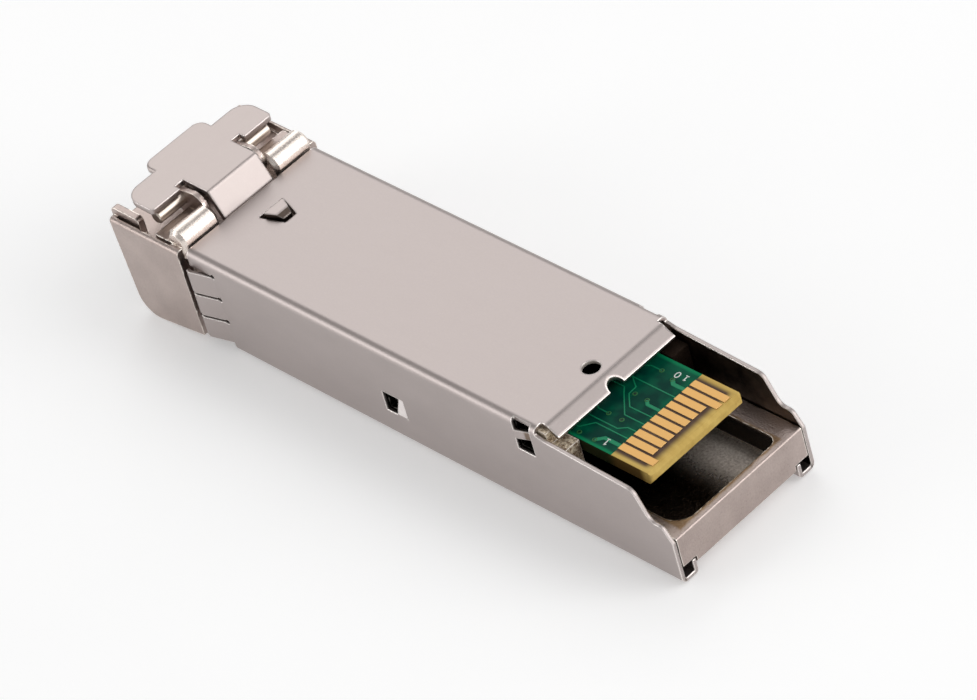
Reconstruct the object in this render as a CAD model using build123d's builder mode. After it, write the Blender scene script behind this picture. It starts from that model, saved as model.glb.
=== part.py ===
from build123d import *
import os

# Small form-factor transceiver module, lying on its label side with the latch side up.
# X runs along the module, positive to the board end. Y runs across it. Z is up.
# The origin is at the bottom centre of the module's box. All sizes are millimetres.

# Overall
overall_length = 55.65          # foremost corner of the nose to the rear face
cover_width = 13.4              # outside of the sheet cover
cover_height = 8.5              # outside of the sheet cover
nose_step = 0.4                 # the cast nose stands this far out past each side of the cover
nose_drop = 0.25                # the nose hangs this far below the cover

# Standard places along the module
nose_to_shoulder = 10.65        # foremost corner of the nose to the latch shoulder, which leaves 45.0 behind it
shoulder_to_stop = 2.5          # latch shoulder to the positive stop
opening_to_rear = 10.4          # end of the cover's top to the rear face
board_end_to_rear = 3.2         # end of the board to the rear face

# Sheet cover
sheet = 0.3
cover_bend = 0.5
hook_inside = 5.16
hook_rise = 1.2
hook_bend = 0.28
lip_run = 1.1
lip_drop = 0.66
lip_half_width = 5.85
lip_notch_radius = 0.7
relief_length = 0.45
relief_depth = 0.55
lip_slant = 0.12
side_top_front = 7.75           # height of the side walls in the open bay, above the cover's bottom
side_top_rear = 7.35
side_step = 5.0
side_end = 3.75
first_curve_from_rear = 2.9
second_curve_length = 0.75
curve_run = 1.1
step_radius = 0.8
end_radius = 0.6
vent_hole = 1.4
vent_hole_to_crease = 1.25
latch_window_front = 1.25       # half width of the latch window at the shoulder
latch_window_rear = 0.55
latch_window_length = 2.2
latch_window_lead = 0.4
latch_window_corner = 0.15
finger_length = 2.45
finger_past_nose = 0.1          # the flared fingers end this far outside the nose's sides
finger_slit = 0.22
finger_slit_eye = 0.42
finger_tip = 0.35
finger_tip_turn = 0.1
finger_low = 0.8
finger_heights = [2.84, 5.0, 7.2]
side_window_from_shoulder = 16.6
side_window_length = 2.15
side_window_low = 2.35
side_window_high = 4.15
side_tab_depth = 0.45
side_tab_short = 0.6
tab_gap = 0.1
lock_window_from_opening = 3.75
lock_window_length = 1.7
lock_window_low = 5.7
lock_window_over_top = 0.35
lock_tab_low = 6.65
lock_tab_height = 0.75
lock_tab_depth = 0.45
lock_tab_short = 0.25

# Cast housing
casting_gap = 0.1               # casting to the inside of the cover
label_inset = 0.3               # label face above the cover's bottom
floor = 1.0
hook_clear = 0.15
rim_height = 3.9                # rim of the rear pocket above the cover's bottom
pocket_near = 5.2
pocket_far = 4.6
pocket_end = 0.65
pocket_floor = 1.7
pocket_corner_near = 1.6
pocket_corner_far = 0.8
rear_chamfer = 0.6
bay_post_length = 0.55          # the side posts stand this far past the opening
bay_post_height = 7.0
bay_edge = 0.15
tub_half_width = 4.7
tab_recess = 0.65
board_clear = 0.1
optics_bay_length = 7.2
optics_bay_half_width = 5.65
partition = 1.85
port_depth = 8.6

# Nose
nose_lean = 0.75                # the front edge leans back by this much over its height
nose_corner = 1.7
nose_taper = 0.68
nose_taper_length = 5.0
cheek_inset = 0.05              # cheek tops below the cover's top
cheek_set = 0.15                # cheeks start this far behind the ribs
cheek_edge = 0.35
cheek_wall = 0.35
stop_gap = 0.55
neck_inset = 0.2
groove_width = 0.2
groove_depth = 0.6
groove_front = 0.6
groove_rear = 0.5
rib_width = 0.55
rib_length = 3.0
rib_rise = 0.6                  # ribs above the cover's top
rib_edge = 0.35
finger_floor = 0.85             # floor under the finger plate below the cover's top
port_pitch = 6.25
port_size = 4.7
port_axis = 3.9                 # light axis above the cover's bottom
port_slot_width = 3.0
port_slot_depth = 0.8
port_slot_length = 7.0
catch_width = 5.3
catch_length = 1.4
catch_from_front = 3.4

# Latch
pin_from_shoulder = 6.55
pin_rise = 0.65                 # pin axis above the cover's top
pin_radius = 0.55
pin_half_length = 5.65
pin_chamfer = 0.1
running_fit = 0.05
press_clear = 0.01
ear_inside = 2.7
ear_thickness = 0.4
ear_pin_radius = 0.75
ear_lobe_radius = 1.1
ear_lobe_back = 1.55
ear_lobe_drop = 0.1
shelf_clear = 0.03
shelf_from_pin = 0.65
ridge_radius = 1.0
ridge_rise = 0.2
ridge_to_stop = 1.15
ridge_inside = 2.95
ridge_outside = 6.5
ridge_edge = 0.3
lever_sheet = 0.45
plate_rise = 1.9                # top of the finger plate above the cover's top
plate_half_width = 6.1
plate_length = 3.15
plate_corner = 1.4
plate_behind_pin = 0.55
plate_notch_half_width = 3.3
plate_notch_depth = 0.55
tongue_half_width = 2.95
tongue_length = 1.45
tongue_corner = 0.9
neck_half_width = 2.45
neck_slope_front = 1.35         # upper crease ahead of the stop
neck_foot = 0.1
neck_fold = 0.3
lever_under_cover = 0.1
lever_tail = 1.9
lug_inside = 1.7
lug_thickness = 0.6
lug_radius = 1.05
well_depth = 0.95
boss_height = 0.4
boss_front_half = 1.0
boss_rear_half = 0.4
boss_length = 1.45
boss_ramp = 0.3
boss_ramp_length = 0.5
boss_corner = 0.12
spring_sheet = 0.15
spring_half_width = 1.0
spring_length = 1.45
spring_inset = 0.1
spring_tip = 0.3

# Board
board_thickness = 1.0
board_drop = 1.55               # board's top below the cover's top
board_edge_width = 9.2
board_body_half_width = 5.2
board_edge_length = 7.9
board_front_gap = 0.9           # board behind the optics bay
board_corner = 0.5
board_bevel = 0.25
pad_count = 10
pad_pitch = 0.8
pad_width = 0.6
pad_thickness = 0.05
pad_start_to_end = 3.7
pad_long = 3.3
pad_short = 2.55
long_pads = [0, 8, 9]

# Optics
barrel_radius = 1.45
barrel_bore = 1.25
barrel_tip_length = 3.2
barrel_chamfer = 0.2
flange_radius = 2.4
flange_thickness = 0.55
neck_length = 1.0
holder_radius = 2.0
holder_length = 1.2
can_radius = 2.1
can_length = 2.4
can_header_radius = 2.4
can_header_thickness = 0.5
lead_radius = 0.2
lead_circle = 0.9
lead_length = 0.5
sleeve_wall = 0.3
sleeve_length = 3.0
sleeve_fit = 0.01
sleeve_recess = 0.4
clamp_thickness = 0.6
clamp_gap = 0.1
clamp_half_width = 5.5
clamp_side_gap = 0.05
flex_thickness = 0.15
flex_half_width = 1.4
flex_bend = 0.5
flex_overlap = 1.9
flex_drop = 1.3
flex_clear = 0.05

# Chips on the board
driver_size = 4.0
amplifier_size = 3.0
controller_size = 5.0
chip_height = 0.85
chip_edge = 0.1
seat = 0.01                     # solder under a chip
chip_side = 2.6
chips_share = 0.235             # places along the board's wide part, as shares of its length
controller_share = 0.485
passives_share = 0.55
passive_step_share = 0.085
inductors_share = 0.827
passive_step_y = 1.5
inductor_step = 5.2
passive_length = 1.0
passive_width = 0.5
passive_height = 0.45
inductor_length = 2.0
inductor_width = 1.25
inductor_height = 0.9

# Modelling allowances
join = 0.05                     # how far joined features run into each other
near = 0.01                     # how closely a selected edge lies to its place
past = 1.0                      # how far a cut runs past the face it opens

# Places worked out from the sizes above
rear_x = overall_length / 2
nose_x = -overall_length / 2
low_z = nose_drop
top_z = low_z + cover_height
half_cover = cover_width / 2
half_inside = half_cover - sheet
half_casting = half_inside - casting_gap
half_nose = half_cover + nose_step
shoulder_x = nose_x + nose_to_shoulder
stop_x = shoulder_x - shoulder_to_stop
opening_x = rear_x - opening_to_rear
crease_x = opening_x - lip_run
board_end_x = rear_x - board_end_to_rear
board_step_x = board_end_x - board_edge_length
board_top_z = top_z - board_drop
board_low_z = board_top_z - board_thickness
under_cover_z = top_z - sheet
axis_z = low_z + port_axis
half_pitch = port_pitch / 2
port_back_x = nose_x + port_depth
optics_x = port_back_x + partition
optics_end_x = optics_x + optics_bay_length
board_front_x = optics_end_x + board_front_gap
board_body_length = board_step_x - board_front_x
post_x = opening_x + bay_post_length
pin_x = shoulder_x - pin_from_shoulder
pin_z = top_z + pin_rise
plate_z = top_z + plate_rise
plate_low_z = plate_z - lever_sheet
crease_lever_x = stop_x - neck_slope_front
lever_top_z = under_cover_z - lever_under_cover
lever_low_z = lever_top_z - lever_sheet
lever_end_x = shoulder_x + lever_tail
floor_z = top_z - finger_floor
plate_rear_x = pin_x + plate_behind_pin
plate_front_x = plate_rear_x - plate_length
cheek_z = top_z - cheek_inset
label_z = low_z + label_inset
hook_top_z = low_z + hook_rise + hook_clear
rim_z = low_z + rim_height
lever_well_z = lever_low_z - well_depth


def side_both(x0, x1, y0, y1, z0, z1, mode):
    # the same block on both sides of the middle plane
    for sign in (-1, 1):
        with Locations(((x0 + x1) / 2, sign * (y0 + y1) / 2, (z0 + z1) / 2)):
            Box(x1 - x0, y1 - y0, z1 - z0, mode=mode)


def ridge(sign, x, z):
    # round-topped bar across the module, its end faces chamfered
    with BuildPart(mode=Mode.PRIVATE) as bar:
        with BuildSketch(Plane.XZ.offset(-sign * ridge_inside)):
            with Locations((x, z)):
                Circle(ridge_radius)
            with Locations((x, (z + cheek_z - past) / 2)):
                Rectangle(2 * ridge_radius, z - cheek_z + past)
        extrude(amount=-sign * (ridge_outside - ridge_inside))
        ends = bar.edges().filter_by(GeomType.CIRCLE)
        uprights = bar.edges().filter_by(Axis.Z).filter_by(lambda edge: edge.center().Z > cheek_z - past)
        chamfer(ends + uprights, length=ridge_edge)
    return bar.part


# Cast housing: nose with two fibre ports, optics bay, board tub and rear pocket
with BuildPart() as housing:
    body_length = rear_x - stop_x
    with BuildSketch(Plane.YZ.offset(stop_x)):
        with Locations((0, (hook_top_z + under_cover_z - casting_gap) / 2)):
            Rectangle(2 * half_casting, under_cover_z - casting_gap - hook_top_z)
        with Locations((0, (label_z + hook_top_z) / 2)):
            Rectangle(2 * (hook_inside - hook_clear), hook_top_z - label_z)
    extrude(amount=body_length)
    # open bay behind the cover's top, down to the rim
    with Locations(((post_x + rear_x) / 2, 0, (rim_z + top_z) / 2)):
        Box(rear_x - post_x, cover_width, top_z - rim_z, mode=Mode.SUBTRACT)
    side_both(board_step_x - board_clear, post_x, 0, half_casting,
              low_z + bay_post_height, top_z, Mode.SUBTRACT)
    rear_face = housing.faces().filter_by(Axis.X).sort_by(Axis.X)[-1]
    fillet(rear_face.edges().filter_by(Axis.Y).sort_by(Axis.Z)[-1], radius=bay_edge)
    with BuildSketch(Plane.XZ):
        with BuildLine():
            Polyline(
                (rear_x - rear_chamfer, label_z),
                (rear_x, label_z + rear_chamfer),
                (rear_x, label_z),
                close=True,
            )
        make_face()
    extrude(amount=half_casting, both=True, mode=Mode.SUBTRACT)
    # board tub with ledges under the board's sides
    tub_front_x = optics_end_x
    with Locations(((tub_front_x + post_x) / 2, 0, (label_z + floor + top_z) / 2)):
        Box(post_x - tub_front_x, 2 * tub_half_width, top_z - label_z - floor, mode=Mode.SUBTRACT)
    side_both(tub_front_x, board_step_x + board_clear, 0, board_body_half_width + board_clear,
              board_low_z, top_z, Mode.SUBTRACT)
    # rear pocket, wider on the near side
    with BuildSketch(Plane.XY.offset(rim_z)):
        with Locations(((post_x + rear_x - pocket_end) / 2, (pocket_far - pocket_near) / 2)):
            Rectangle(rear_x - pocket_end - post_x, pocket_far + pocket_near)
    extrude(amount=-(rim_height - pocket_floor), mode=Mode.SUBTRACT)
    pocket_edges = housing.edges().filter_by(Axis.Z).filter_by_position(
        Axis.X, rear_x - pocket_end - near, rear_x - pocket_end + near)
    fillet(pocket_edges.sort_by(Axis.Y)[0], radius=pocket_corner_near)
    fillet(pocket_edges.sort_by(Axis.Y)[-1], radius=pocket_corner_far)
    with Locations(((post_x + tub_front_x) / 2, 0, low_z + (pocket_floor + rim_height) / 2)):
        Box(post_x - tub_front_x + join, 2 * tub_half_width, rim_height - pocket_floor, mode=Mode.SUBTRACT)
    # optics bay
    with Locations(((optics_x + optics_end_x) / 2, 0, (label_z + floor + top_z) / 2)):
        Box(optics_bay_length, 2 * optics_bay_half_width, top_z - label_z - floor, mode=Mode.SUBTRACT)
    # nose block, its front edge leaning back to the bottom
    nose_back_x = stop_x - stop_gap
    with BuildSketch(Plane.XZ):
        with BuildLine():
            Polyline(
                (nose_back_x, nose_taper),
                (nose_back_x - nose_taper_length, 0),
                (nose_x + nose_lean, 0),
                (nose_x + cheek_set, cheek_z),
                (nose_back_x, cheek_z),
                close=True,
            )
        make_face()
        corner = vertices().group_by(Axis.Y)[0].sort_by(Axis.X)[0]
        fillet(corner, radius=nose_corner)
    extrude(amount=half_nose, both=True)
    cheek_edges = housing.edges().filter_by(Axis.X).filter_by_position(
        Axis.Y, half_nose - near, half_nose + near)
    cheek_edges += housing.edges().filter_by(Axis.X).filter_by_position(
        Axis.Y, -half_nose - near, -half_nose + near)
    fillet(cheek_edges.group_by(Axis.Z)[-1], radius=cheek_edge)
    # joins the nose to the body inside the cover's front edge
    with Locations((stop_x, 0, (hook_top_z + lever_well_z) / 2)):
        Box(2 * (stop_gap + neck_inset), 2 * (half_casting - neck_inset), lever_well_z - hook_top_z)
    # ribs along both sides of the finger plate
    groove_outside = half_nose - cheek_wall
    rib_outside = groove_outside - groove_width
    rib_back_x = nose_x + rib_length
    for sign in (-1, 1):
        with BuildSketch(Plane.XZ.offset(sign * (rib_outside - rib_width / 2))):
            with BuildLine():
                Polyline(
                    (nose_x, cheek_z - past),
                    (nose_x, top_z + rib_rise),
                    (rib_back_x, top_z + rib_rise),
                    (rib_back_x, cheek_z - past),
                    close=True,
                )
            make_face()
            fillet(vertices().group_by(Axis.Y)[-1], radius=rib_edge)
        extrude(amount=rib_width / 2, both=True)
    # floor under the finger plate, and wells for the latch lever and the pin's ends
    shelf_z = pin_z - pin_radius - shelf_clear
    shelf_front_x = pin_x + shelf_from_pin
    ridge_x = stop_x - ridge_to_stop
    side_both(nose_x - past, shelf_front_x, 0, rib_outside - rib_width, floor_z, plate_z, Mode.SUBTRACT)
    side_both(rib_back_x, shelf_front_x, 0, rib_outside, floor_z, plate_z, Mode.SUBTRACT)
    side_both(shelf_front_x, ridge_x, ridge_inside, rib_outside, cheek_z - past, shelf_z, Mode.ADD)
    side_both(nose_x + groove_front, ridge_x - groove_rear, rib_outside, groove_outside,
              cheek_z - groove_depth, plate_z, Mode.SUBTRACT)
    # stop ridges either side of the latch neck
    ridge_z = top_z + ridge_rise
    for sign in (-1, 1):
        add(ridge(sign, ridge_x, ridge_z))
    with Locations(((rib_back_x + optics_x) / 2, 0, (lever_well_z + plate_z) / 2)):
        Box(optics_x - rib_back_x, 2 * ridge_inside, plate_z - lever_well_z, mode=Mode.SUBTRACT)
    # ears that hold the pin, running back into the ridges
    for sign in (-1, 1):
        with BuildSketch(Plane.XZ.offset(-sign * (ear_inside + ear_thickness / 2))):
            with Locations((pin_x, pin_z)):
                Circle(ear_pin_radius)
            with Locations((pin_x + ear_lobe_back, pin_z - ear_lobe_drop)):
                Circle(ear_lobe_radius)
            make_hull()
            with Locations((pin_x + ear_lobe_back / 2, (lever_well_z + pin_z - join) / 2)):
                Rectangle(ear_lobe_back + ear_pin_radius, pin_z - lever_well_z + join)
        extrude(amount=ear_thickness / 2, both=True)
    with Locations(Location((pin_x, 0, pin_z), (90, 0, 0))):
        Cylinder(pin_radius + press_clear, 2 * half_nose, mode=Mode.SUBTRACT)
    # fibre ports with their latch slots and catches
    for sign in (-1, 1):
        port_y = sign * half_pitch
        with Locations(((nose_x + port_back_x) / 2, port_y, axis_z)):
            Box(port_depth, port_size, port_size, mode=Mode.SUBTRACT)
        slot_z = axis_z - port_size / 2 - port_slot_depth / 2
        with Locations((nose_x + port_slot_length / 2, port_y, slot_z)):
            Box(port_slot_length, port_slot_width, port_slot_depth, mode=Mode.SUBTRACT)
        with Locations((nose_x + catch_from_front + catch_length / 2, port_y, slot_z)):
            Box(catch_length, catch_width, port_slot_depth, mode=Mode.SUBTRACT)
        with Locations(Location((port_back_x, port_y, axis_z), (0, 90, 0))):
            Cylinder(barrel_radius + press_clear, 2 * (partition + join), mode=Mode.SUBTRACT)
    # recesses that the cover's tabs spring into
    tab_z = low_z + (side_window_low + side_window_high) / 2
    tab_x = shoulder_x + side_window_from_shoulder + side_window_length / 2
    lock_x = opening_x - lock_window_from_opening + lock_window_length / 2
    for sign in (-1, 1):
        with Locations((tab_x, sign * half_casting, tab_z)):
            Box(side_window_length, 2 * tab_recess, side_window_high - side_window_low, mode=Mode.SUBTRACT)
        with Locations((lock_x, sign * half_casting, (low_z + lock_window_low + top_z) / 2)):
            Box(lock_window_length, 2 * tab_recess, top_z - low_z - lock_window_low, mode=Mode.SUBTRACT)
housing.part.label = "base_housing"

# Sheet cover: top, sides and inward hooks folded from one sheet
with BuildPart() as cover:
    with BuildSketch(Plane.YZ.offset(stop_x)):
        with Locations((0, low_z + cover_height / 2)):
            RectangleRounded(cover_width, cover_height, cover_bend)
            RectangleRounded(cover_width - 2 * sheet, cover_height - 2 * sheet, cover_bend - sheet,
                             mode=Mode.SUBTRACT)
        with Locations((0, low_z + sheet / 2)):
            Rectangle(2 * hook_inside, sheet, mode=Mode.SUBTRACT)
        with Locations((hook_inside + sheet / 2, low_z + hook_rise / 2),
                       (-hook_inside - sheet / 2, low_z + hook_rise / 2)):
            Rectangle(sheet, hook_rise)
        hook_corners = vertices().filter_by_position(Axis.Y, low_z - near, low_z + near).filter_by_position(
            Axis.X, -hook_inside - near, hook_inside + near)
        fillet(hook_corners, radius=hook_bend)
    extrude(amount=rear_x - stop_x)
    # open bay at the rear, with the side walls stepping down
    first_x = rear_x - first_curve_from_rear
    second_x = rear_x - second_curve_length
    relief_x = crease_x - relief_length
    with BuildSketch(Plane.XZ):
        with BuildLine():
            Polyline(
                (relief_x, top_z + past),
                (relief_x, top_z - relief_depth),
                (crease_x + relief_length, low_z + side_top_front),
                (first_x, low_z + side_top_rear),
                (first_x + curve_run, low_z + side_step),
                (second_x, low_z + side_step),
                (rear_x, low_z + side_end),
                (rear_x + past, low_z + side_end),
                (rear_x + past, top_z + past),
                close=True,
            )
        make_face()
        fillet(vertices().filter_by_position(Axis.X, first_x - near, first_x + near), radius=step_radius)
        foot_x = first_x + curve_run
        fillet(vertices().filter_by_position(Axis.X, foot_x - near, foot_x + near), radius=step_radius)
        fillet(vertices().filter_by_position(Axis.X, second_x - near, second_x + near), radius=end_radius)
    extrude(amount=cover_width, both=True, mode=Mode.SUBTRACT)
    # sloping lip at the end of the top, with a half-round notch
    with BuildSketch(Plane.XZ):
        with BuildLine():
            Polyline(
                (relief_x - join, top_z),
                (crease_x, top_z),
                (opening_x, top_z - lip_drop),
                (opening_x - lip_slant, top_z - lip_drop - sheet),
                (crease_x, top_z - sheet),
                (relief_x - join, top_z - sheet),
                close=True,
            )
        make_face()
    extrude(amount=lip_half_width, both=True)
    with Locations((opening_x, 0, top_z - lip_drop)):
        Cylinder(lip_notch_radius, 2 * past, mode=Mode.SUBTRACT)
    with Locations((crease_x - vent_hole_to_crease, 0, top_z)):
        Cylinder(vent_hole / 2, 2 * past, mode=Mode.SUBTRACT)
    # latch window
    with BuildSketch(Plane.XY.offset(top_z + sheet)):
        with BuildLine():
            front = shoulder_x - latch_window_lead
            Polyline(
                (front, -latch_window_front),
                (front, latch_window_front),
                (front + latch_window_length, latch_window_rear),
                (front + latch_window_length, -latch_window_rear),
                close=True,
            )
        make_face()
        fillet(vertices(), radius=latch_window_corner)
    extrude(amount=-3 * sheet, mode=Mode.SUBTRACT)
    # windows for the sprung tabs
    for sign in (-1, 1):
        with Locations((tab_x, sign * half_cover, tab_z)):
            Box(side_window_length, 3 * sheet, side_window_high - side_window_low, mode=Mode.SUBTRACT)
        lock_z = (low_z + lock_window_low + top_z + past) / 2
        with Locations((lock_x, sign * (half_cover + (past - lock_window_over_top) / 2), lock_z)):
            Box(lock_window_length, past + lock_window_over_top, top_z + past - low_z - lock_window_low,
                mode=Mode.SUBTRACT)
    # front of the side walls, cut away for the fingers
    finger_x = stop_x + finger_length
    finger_high = low_z + finger_heights[-1]
    finger_out = half_nose + finger_past_nose
    side_both(stop_x - past, finger_x, hook_inside - past, half_cover + past, low_z - past, finger_high,
              Mode.SUBTRACT)
    # flared fingers and the bent tabs, mirrored to the far side
    levels = [finger_low] + finger_heights
    for index in range(len(finger_heights)):
        lower = low_z + levels[index] + (finger_slit / 2 if index else 0)
        upper = low_z + levels[index + 1] - finger_slit / 2
        for sign in (-1, 1):
            with BuildSketch(Plane.XY.offset(lower)):
                with BuildLine():
                    Polyline(
                        (finger_x + join, sign * half_cover),
                        (finger_x, sign * half_cover),
                        (stop_x + finger_tip, sign * finger_out),
                        (stop_x, sign * (finger_out - finger_tip_turn)),
                        (stop_x, sign * (finger_out - finger_tip_turn - sheet)),
                        (stop_x + finger_tip, sign * (finger_out - sheet)),
                        (finger_x, sign * half_inside),
                        (finger_x + join, sign * half_inside),
                        close=True,
                    )
                make_face()
            extrude(amount=upper - lower)
    for height in finger_heights:
        for sign in (-1, 1):
            with Locations(Location((finger_x, sign * half_cover, low_z + height), (90, 0, 0))):
                Cylinder(finger_slit_eye / 2, 2 * past, mode=Mode.SUBTRACT)
    for sign in (-1, 1):
        with BuildSketch(Plane.YZ.offset(tab_x)):
            with BuildLine():
                Polyline(
                    (sign * half_cover, low_z + side_window_low - join),
                    (sign * half_cover, low_z + side_window_low),
                    (sign * (half_cover - side_tab_depth), low_z + side_window_high - side_tab_short),
                    (sign * (half_inside - side_tab_depth), low_z + side_window_high - side_tab_short),
                    (sign * half_inside, low_z + side_window_low),
                    (sign * half_inside, low_z + side_window_low - join),
                    close=True,
                )
            make_face()
        extrude(amount=side_window_length / 2 - tab_gap)
        with BuildSketch(Plane.XY.offset(low_z + lock_tab_low)):
            with BuildLine():
                lock_front = lock_x - lock_window_length / 2
                lock_end = lock_front + lock_window_length - lock_tab_short
                Polyline(
                    (lock_front - join, sign * half_cover),
                    (lock_front, sign * half_cover),
                    (lock_end, sign * (half_cover - lock_tab_depth)),
                    (lock_end, sign * (half_inside - lock_tab_depth)),
                    (lock_front, sign * half_inside),
                    (lock_front - join, sign * half_inside),
                    close=True,
                )
            make_face()
        extrude(amount=lock_tab_height)
cover.part.label = "cover_shell"

# Latch lever: finger plate, sloping neck, tail with the latch boss, and two lugs
with BuildPart() as lever:
    with BuildSketch(Plane.XZ):
        with BuildLine():
            Polyline(
                (plate_rear_x - lever_sheet, plate_z),
                (crease_lever_x, plate_z),
                (stop_x - neck_foot, lever_top_z),
                (lever_end_x, lever_top_z),
                (lever_end_x, lever_low_z),
                (stop_x - neck_foot - neck_fold, lever_low_z),
                (crease_lever_x - neck_fold, plate_low_z),
                (plate_rear_x - lever_sheet, plate_low_z),
                close=True,
            )
        make_face()
        fillet(vertices().group_by(Axis.Y)[-1].sort_by(Axis.X)[-1], radius=neck_fold)
    extrude(amount=neck_half_width, both=True)
    # finger plate with its tongue
    with BuildSketch(Plane.XY.offset(plate_low_z)):
        with Locations(((plate_front_x + plate_rear_x) / 2, 0)):
            Rectangle(plate_length, 2 * plate_half_width)
        fillet(vertices().group_by(Axis.X)[0], radius=plate_corner)
        fillet(vertices().group_by(Axis.X)[-1], radius=neck_fold)
        for sign in (-1, 1):
            with Locations((plate_rear_x, sign * (neck_half_width + plate_notch_half_width) / 2)):
                Rectangle(2 * plate_notch_depth, plate_notch_half_width - neck_half_width, mode=Mode.SUBTRACT)
        with Locations((plate_front_x, 0)):
            Rectangle(2 * tongue_length, 2 * tongue_half_width)
        fillet(vertices().group_by(Axis.X)[0], radius=tongue_corner)
    extrude(amount=lever_sheet)
    plate_top = lever.faces().filter_by(Axis.Z).sort_by(Axis.Z)[-1]
    fillet(plate_top.edges().filter_by(GeomType.LINE).filter_by(Axis.Y).sort_by(Axis.X)[0], radius=neck_inset)
    # lugs on the pin
    for sign in (-1, 1):
        lug_y = sign * (lug_inside + lug_thickness / 2)
        with Locations(Location((pin_x, lug_y, pin_z), (90, 0, 0))):
            Cylinder(lug_radius, lug_thickness)
        with Locations((pin_x, lug_y, (pin_z + plate_low_z) / 2)):
            Box(2 * (lug_radius - neck_foot), lug_thickness, plate_low_z - pin_z + join)
    with Locations(Location((pin_x, 0, pin_z), (90, 0, 0))):
        Cylinder(pin_radius + running_fit, 2 * half_nose, mode=Mode.SUBTRACT)
    # latch boss: square shoulder to the front, ramp to the rear
    with BuildSketch(Plane.XY.offset(lever_top_z - join)):
        with BuildLine():
            Polyline(
                (shoulder_x, -boss_front_half),
                (shoulder_x, boss_front_half),
                (shoulder_x + boss_length, boss_rear_half),
                (shoulder_x + boss_length, -boss_rear_half),
                close=True,
            )
        make_face()
        fillet(vertices(), radius=boss_corner)
    extrude(amount=top_z + boss_height - lever_top_z + join)
    boss_end_x = shoulder_x + boss_length
    boss_top_z = top_z + boss_height
    with BuildSketch(Plane.XZ):
        with BuildLine():
            Polyline(
                (boss_end_x - boss_ramp_length, boss_top_z),
                (boss_end_x, boss_top_z - boss_ramp),
                (boss_end_x, boss_top_z),
                close=True,
            )
        make_face()
    extrude(amount=boss_front_half, both=True, mode=Mode.SUBTRACT)
lever.part.label = "latch_lever"

with BuildPart() as pin:
    with Locations(Location((pin_x, 0, pin_z), (90, 0, 0))):
        Cylinder(pin_radius, 2 * pin_half_length)
    chamfer(pin.edges().filter_by(GeomType.CIRCLE), length=pin_chamfer)
pin.part.label = "pivot_pin"

# Leaf spring under the lever's tail, seated on the housing's partition
spring_low_x = port_back_x + spring_inset
spring_bend_x = spring_low_x + spring_length
with BuildPart() as spring:
    with BuildSketch(Plane.XZ):
        with BuildLine():
            foot = lever_well_z
            reach = lever_low_z - near
            Polyline(
                (spring_low_x, foot),
                (spring_bend_x, foot),
                (spring_bend_x + spring_sheet, foot + spring_sheet),
                (spring_low_x + spring_tip + join, reach),
                (spring_low_x, reach),
                (spring_low_x, reach - spring_sheet),
                (spring_low_x + spring_tip, reach - spring_sheet),
                (spring_bend_x - spring_inset, foot + spring_sheet),
                (spring_low_x, foot + spring_sheet),
                close=True,
            )
        make_face()
    extrude(amount=spring_half_width, both=True)
spring.part.label = "latch_spring"

# Board with its narrow edge tongue
with BuildPart() as board:
    with BuildSketch(Plane.XY.offset(board_low_z)):
        with Locations(((board_front_x + board_step_x) / 2, 0)):
            Rectangle(board_body_length, 2 * board_body_half_width)
        fillet(vertices(), radius=board_corner)
        with Locations(((board_step_x - past + board_end_x) / 2, 0)):
            Rectangle(board_edge_length + past, board_edge_width)
    extrude(amount=board_thickness)
    end_edges = board.edges().filter_by(Axis.Y).group_by(Axis.X)[-1]
    chamfer(end_edges, length=board_bevel)
    end_corners = board.edges().filter_by(Axis.Z).group_by(Axis.X)[-1]
    fillet(end_corners, radius=board_bevel)
board.part.label = "circuit_board"


def contact_row(level):
    # one row of edge contacts on a face of the board; the outer ones reach further
    with BuildPart() as row:
        start_x = board_end_x - pad_start_to_end
        for index in range(pad_count):
            length = pad_long if index in long_pads else pad_short
            across = (index - (pad_count - 1) / 2) * pad_pitch
            with Locations((start_x + length / 2, across, level)):
                Box(length, pad_width, pad_thickness)
    return row.part


upper_contacts = contact_row(board_top_z + pad_thickness / 2)
upper_contacts.label = "upper_contacts"
lower_contacts = contact_row(board_low_z - pad_thickness / 2)
lower_contacts.label = "lower_contacts"

# Optical subassemblies: a turned barrel each, with a sealed can behind it
flange_x = optics_x + near
holder_x = flange_x + flange_thickness + neck_length
can_x = holder_x + holder_length
header_x = can_x + can_length


def along_x(x, y):
    return Plane(origin=(x, y, axis_z), x_dir=(0, 1, 0), z_dir=(1, 0, 0))


def barrel(y):
    with BuildPart() as piece:
        tip_x = port_back_x - barrel_tip_length
        with BuildSketch(along_x(tip_x, y)):
            Circle(barrel_radius)
        extrude(amount=holder_x - tip_x)
        chamfer(piece.edges().sort_by(Axis.X)[0], length=barrel_chamfer)
        with BuildSketch(along_x(flange_x, y)):
            Circle(flange_radius)
        extrude(amount=flange_thickness)
        with BuildSketch(along_x(holder_x, y)):
            Circle(holder_radius)
        extrude(amount=holder_length)
        with BuildSketch(along_x(tip_x, y)):
            Circle(barrel_bore / 2 + sleeve_wall + sleeve_fit)
        extrude(amount=sleeve_length + sleeve_recess, mode=Mode.SUBTRACT)
    return piece.part


def sleeve(y):
    with BuildPart() as piece:
        with BuildSketch(along_x(port_back_x - barrel_tip_length + sleeve_recess, y)):
            Circle(barrel_bore / 2 + sleeve_wall)
            Circle(barrel_bore / 2, mode=Mode.SUBTRACT)
        extrude(amount=sleeve_length)
    return piece.part


def can(y, lead_total):
    with BuildPart() as piece:
        with BuildSketch(along_x(can_x + near, y)):
            Circle(can_radius)
        extrude(amount=can_length)
        with BuildSketch(along_x(header_x, y)):
            Circle(can_header_radius)
        extrude(amount=can_header_thickness)
        with BuildSketch(along_x(header_x + can_header_thickness - join, y)):
            with PolarLocations(lead_circle, lead_total):
                Circle(lead_radius)
        extrude(amount=lead_length)
    return piece.part


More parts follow.
